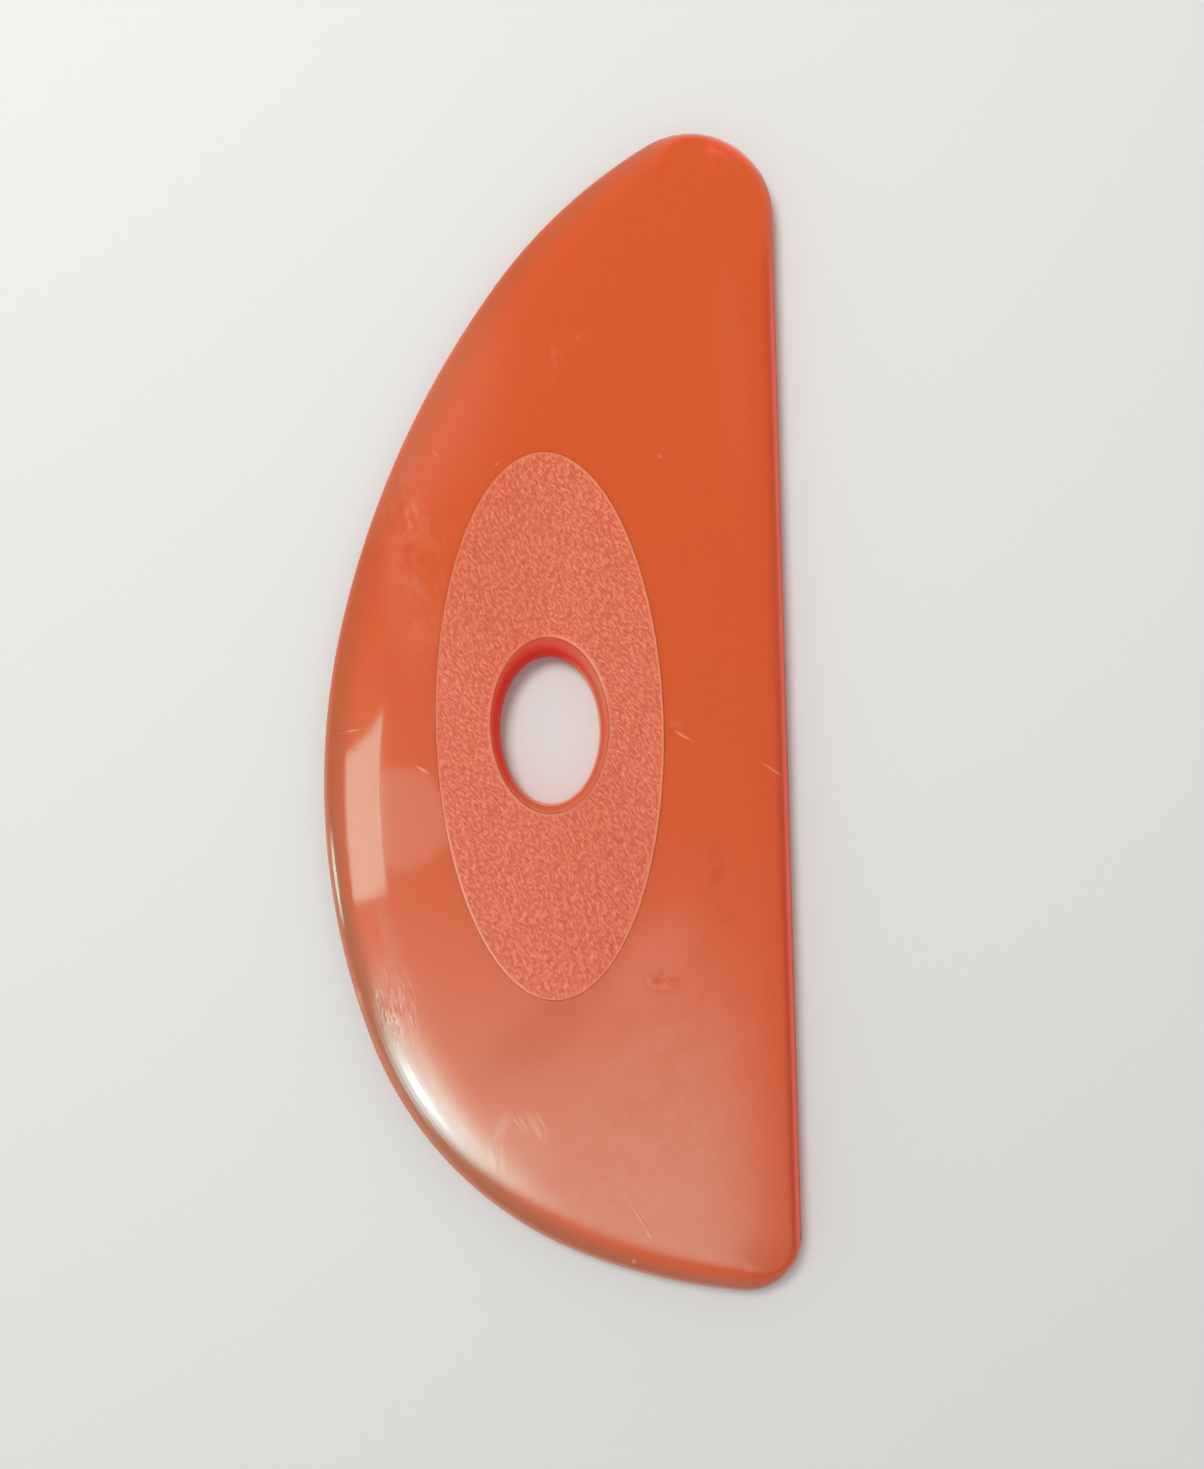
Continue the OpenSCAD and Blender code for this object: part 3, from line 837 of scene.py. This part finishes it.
def bladeMaterial():
    material, tree, shader = newMaterial("orangePolymer")
    across = mark(tree, "acrossBlade")
    spot = objectSpot(tree)
    x, y, z = partsOf(tree, spot)
    front = smooth(tree, z, midHeight, midHeight + zones["front"])
    pale = 0
    height = 0
    for one in wearAndPaintedLight.values():
        shape = wearShape(tree, spot, one) * front
        pale = shape * one["pale"] + pale
        if "rise" in one:
            height = shape * one["rise"] + height

    # painted shade where the long curve runs thin
    low = 1 - smooth(tree, y, *zones["lowHalf"])
    onStraight = smooth(tree, x, *(ribWidth / 2 - inset for inset in zones["straight"]))
    onCurve = 1 - onStraight
    thinFades = blend(low, *zones["thinFades"])
    thin = 1 - smooth(tree, across, thinFades, blend(low, *zones["thinEnds"]))
    thinShade = mixColour(tree, low, polish["thinShadeHigh"], polish["thinShadeLow"])
    colour = mixColour(tree, thin * onCurve, polish["colour"], thinShade)

    # painted shade: a red band along the straight edge, with a painted highlight line on it
    gap = x * -1 + ribWidth / 2
    between = stripe(tree, y, *zones["ends"])
    fast = smooth(tree, gap, *zones["redFast"]) * zones["redFastShare"]
    slow = smooth(tree, gap, *zones["redSlow"]) * (1 - zones["redFastShare"])
    red = (1 - fast - slow) * between * blend(low, zones["redHigh"], 1)
    colour = mixColour(tree, red, colour, polish["edgeShadeRed"])
    edgeHighlightLine = stripe(tree, gap, *zones["edgeHighlightLine"]) * between
    colour = mixColour(tree, edgeHighlightLine, colour, polish["edgeHighlightLine"])

    # a painted highlight line on the curve's lip, then the hole's painted light and shade, the
    # painted glow spots, and the marks of use with painted sheen and shade
    lipLine = stripe(tree, across, *zones["lipLine"]) * blend(low, *zones["lipHighlightShares"]) * onCurve
    colour = mixColour(tree, lipLine, colour, polish["wearAndSheen"])
    inHole = smooth(tree, across, *zones["hole"])
    colour = mixColour(tree, inHole, colour, rimColour(tree, across, x, y))
    for one in glowSpots.values():
        share = wearShape(tree, spot, one) * front * one["share"]
        colour = mixColour(tree, share, colour, polish["glowRed"])
    # marks of use, with painted sheen and painted shade among them
    colour = mixColour(tree, pale, colour, polish["wearAndSheen"])
    colour = mixColour(tree, pale * -1, colour, polish["bruiseAndShade"])
    plug(tree, colour, shader.inputs["Base Color"])

    # the glaze is gone in the hole and on the straight edge, and weaker on scuffs and dark marks
    cloud = noise(tree, spot, *polish["cloud"])
    scuff = noise(tree, spot, *polish["scuff"])
    whole = blend(smooth(tree, scuff, *polish["scuffSpread"]), polish["scuffed"], 1)
    dulled = smooth(tree, pale * -1, 0, zones["dark"]) * polish["dulled"]
    folded = (1 - smooth(tree, across, *zones["fold"])) * onStraight * polish["folded"]
    glaze = polish["glaze"] * (1 - inHole) * whole * (1 - dulled) * (1 - folded)
    plug(tree, glaze, shader.inputs["Coat Weight"])
    rough = (cloud - 0.5) * polish["roughCloud"] + inHole * polish["roughHole"]
    plug(tree, rough + polish["roughness"], shader.inputs["Roughness"])
    height = height + cloud * polish["cloudRise"] + scuff * polish["scuffRise"]
    waves = addNode(tree, "ShaderNodeBump", Strength=1.0, Distance=1 * mm, Height=height)
    tree.links.new(waves.outputs[0], shader.inputs["Normal"])
    tree.links.new(waves.outputs[0], shader.inputs["Coat Normal"])
    setSockets(shader, IOR=polish["density"], Specular_IOR_Level=polish["haze"],
               Coat_IOR=polish["density"], Coat_Roughness=polish["glazeRoughness"],
               Subsurface_Weight=polish["glow"], Subsurface_Scale=polish["glowDepth"],
               Subsurface_Radius=polish["glowColour"])
    return material


matt = {
    # the pebbles' own tone, with painted highlight on their tops and painted shade in their
    # valleys
    "peakWithHighlight": (0.87, 0.226, 0.114, 1),
    "valleyWithShade": (0.655, 0.102, 0.037, 1),
    "gleam": (0.95, 0.36, 0.24, 1),    # painted highlight along the edges that slope to the lower left
    "spread": (0.1, 0.95),             # the marks of the grain that are all valley and all peak
    "gleamMarks": (1.0, 1.4),          # and those over which the gleam comes
    "roughness": 0.52,
    "fineLength": 0.5 * mm,            # the finest wrinkles, along and across the grain
    "fineWidth": 0.22 * mm,
    "fineDepth": 0.09 * mm,
    "fineNoise": (1, 2, 0.6),          # scale, detail and roughness
    "fineColour": 0.7,                 # how far they sway the colour and the roughness
    "fineRough": 0.2,
    "density": 1.48,                   # index of refraction
    "glow": 0.2,                       # share of light that goes through the surface
    "glowDepth": 1.0 * mm,
    "glowColour": (1.0, 0.3, 0.15),
}


def gripMaterial():
    material, tree, shader = newMaterial("pebbledPolymer")
    grain = mark(tree, "grain")
    x, y, z = partsOf(tree, objectSpot(tree))
    along, across = leaning(x, y, math.radians(grip["grainTurn"]))
    place = vectorOf(tree, along / matt["fineLength"], across / matt["fineWidth"],
                     z / matt["fineLength"])
    fine = noise(tree, place, *matt["fineNoise"])
    # grain tone with painted highlight on the tops and painted shade in the valleys
    share = smooth(tree, grain + (fine - 0.5) * matt["fineColour"], *matt["spread"])
    colour = mixColour(tree, share, matt["valleyWithShade"], matt["peakWithHighlight"])
    colour = mixColour(tree, smooth(tree, grain, *matt["gleamMarks"]), colour, matt["gleam"])
    plug(tree, colour, shader.inputs["Base Color"])
    rough = (fine - 0.5) * matt["fineRough"] + matt["roughness"]
    plug(tree, rough, shader.inputs["Roughness"])
    bump = addNode(tree, "ShaderNodeBump", Strength=1.0, Distance=matt["fineDepth"], Height=fine)
    tree.links.new(bump.outputs[0], shader.inputs["Normal"])
    setSockets(shader, IOR=matt["density"], Subsurface_Weight=matt["glow"],
               Subsurface_Scale=matt["glowDepth"], Subsurface_Radius=matt["glowColour"])
    return material


# floor, light and camera
stage = {
    "floorSize": 6.0,
    "floorDrop": 0.02 * mm,            # keeps the floor off the grip that rests on it
    "floorColour": (0.80, 0.79, 0.77, 1),
    "floorTone": (3, 2),               # scale and detail of its tones
    "floorDim": 0.97,                  # the darker tone's share of the colour
    "floorRoughness": 0.9,
    "floorGloss": 0.2,
    "skyLow": 0.95,                    # world near the horizon and overhead
    "skyHigh": 0.32,
}

# Every soft box hangs level. Its size is along X and Y in metres, "turn" is in degrees, and
# "bright" is how bright it looks. A rectangle fades over the width "edge" along its sides, and
# its low side climbs by "slant" for each metre to the right. A round box fades from its middle
# share "core" to its rim. The key lights the surfaces and is not mirrored in them, and the
# others show in the gloss alone.
softBoxes = {
    "key": {"place": (-0.20, 0.26, 0.62), "size": (0.3, 0.3), "bright": 9.9, "edge": (0.03, 0.03),
            "mirrored": False},
    "window": {"place": (-0.303, -0.063, 0.500), "size": (0.382, 0.176), "slant": 0.2,
               "bright": 5.3, "edge": (0.006, 0.014), "tint": (0.35, 1.0, 0.85)},
    "lamp": {"place": (-0.38, -0.355, 0.510), "size": (0.20, 0.16), "turn": 26, "core": 0,
             "bright": 8.6, "tint": (1.25, 1.0, 1.15)},
    "glow": {"place": (-0.375, -0.37, 0.515), "size": (0.72, 0.41), "core": 0, "turn": 26,
             "bright": 13.3, "tint": (0.37, 1.0, 0.98)},
    "veil": {"place": (-0.095, -0.265, 0.520), "size": (0.37, 0.47), "bright": 2.8,
             "edge": (0.055, 0.24), "tint": (0.3, 1.0, 0.88)},
    "disc": {"place": (-0.110, -0.036, 0.525), "size": (0.052, 0.052), "core": 0.94,
             "bright": 1.4, "tint": (0.4, 1.0, 0.9)},
    "glint": {"place": (-0.85, -0.17, 0.530), "size": (0.14, 0.20), "core": 0.3, "bright": 12.0,
              "tint": (0.4, 1.0, 0.8)},
}

camera = {
    "place": (0.011984, -0.005902, 0.206191),
    "turn": (0.7348, 1.4647, -1.5307),
    "lens": 35,
    "nearest": 0.01,                   # nothing closer than this is drawn
}


def makeFloor():
    half = stage["floorSize"] / 2
    mesh = bpy.data.meshes.new("floor")
    corners = [(-half, -half), (half, -half), (half, half), (-half, half)]
    mesh.from_pydata([(x, y, -stage["floorDrop"]) for x, y in corners], [], [(0, 1, 2, 3)])
    floor = bpy.data.objects.new("floor", mesh)
    bpy.context.scene.collection.objects.link(floor)
    material, tree, shader = newMaterial("paleFloor")
    tone = noise(tree, objectSpot(tree), *stage["floorTone"])
    dim = [part * stage["floorDim"] for part in stage["floorColour"][:3]] + [1]
    plug(tree, mixColour(tree, tone, stage["floorColour"], dim), shader.inputs["Base Color"])
    setSockets(shader, Roughness=stage["floorRoughness"],
               Specular_IOR_Level=stage["floorGloss"])
    mesh.materials.append(material)


def makeWorld():
    world = bpy.data.worlds.new("studio")
    world.use_nodes = True
    tree = world.node_tree
    direction = Wire(tree, addNode(tree, "ShaderNodeTexCoord").outputs["Generated"])
    height = partsOf(tree, direction)[2]
    glow = addNode(tree, "ShaderNodeMapRange")
    for value, slot in zip((height, 0, 1, stage["skyLow"], stage["skyHigh"]), glow.inputs):
        plug(tree, value, slot)
    tree.links.new(glow.outputs[0], tree.nodes["Background"].inputs["Strength"])
    tree.nodes["Background"].inputs["Color"].default_value = (1, 1, 1, 1)
    bpy.context.scene.world = world


def makeSoftBox(name, box):
    width, length = box["size"]
    turn = math.radians(box.get("turn", 0))
    lamp = bpy.data.lights.new(name, "AREA")
    lamp.shape = "ELLIPSE" if "core" in box else "RECTANGLE"
    lamp.size = width
    lamp.size_y = length
    lamp.color = box.get("tint", (1, 1, 1))
    area = width * length * (math.pi / 4 if "core" in box else 1)
    lamp.energy = 4 * area * box["bright"]  # watts that make the box look this bright
    lamp.use_nodes = True
    tree = lamp.node_tree
    spot = Wire(tree, addNode(tree, "ShaderNodeNewGeometry").outputs["Position"])
    x, y = partsOf(tree, spot)[:2]
    along, across = leaning(x - box["place"][0], y - box["place"][1], turn)
    if "core" in box:
        squares = along * along / (width * width / 4) + across * across / (length * length / 4)
        fade = 1 - smooth(tree, calc(tree, "SQRT", squares), box["core"], 1)
    else:
        sideGap = width / 2 - calc(tree, "ABSOLUTE", along)
        highGap = length / 2 - across
        lowGap = across + length / 2 - (along + width / 2) * box.get("slant", 0)
        fade = smooth(tree, sideGap, 0, box["edge"][0])
        for gap in (highGap, lowGap):
            fade = fade * smooth(tree, gap, 0, box["edge"][1])
    plug(tree, fade, tree.nodes["Emission"].inputs["Strength"])
    hung = bpy.data.objects.new(name, lamp)
    hung.location = box["place"]
    hung.rotation_euler = (0, 0, turn)
    hung.visible_camera = False
    hung.visible_glossy = box.get("mirrored", True)
    hung.visible_diffuse = not hung.visible_glossy
    bpy.context.scene.collection.objects.link(hung)


def makeCamera():
    lens = bpy.data.cameras.new("photoView")
    lens.lens = camera["lens"]
    lens.clip_start = camera["nearest"]
    view = bpy.data.objects.new("photoView", lens)
    view.location = camera["place"]
    view.rotation_euler = [math.radians(turn) for turn in camera["turn"]]
    bpy.context.scene.collection.objects.link(view)
    bpy.context.scene.camera = view


makeBlade(bladeMaterial())
pebbled = gripMaterial()
makeGrip("front_grip", "front_grip_pad", True, 4, pebbled)
makeGrip("back_grip", "back_grip_pad", False, 9, pebbled)
makeFloor()
makeWorld()
for boxName, softBox in softBoxes.items():
    makeSoftBox(boxName, softBox)
makeCamera()
bpy.context.scene.view_settings.view_transform = "Standard"
print("stage set")
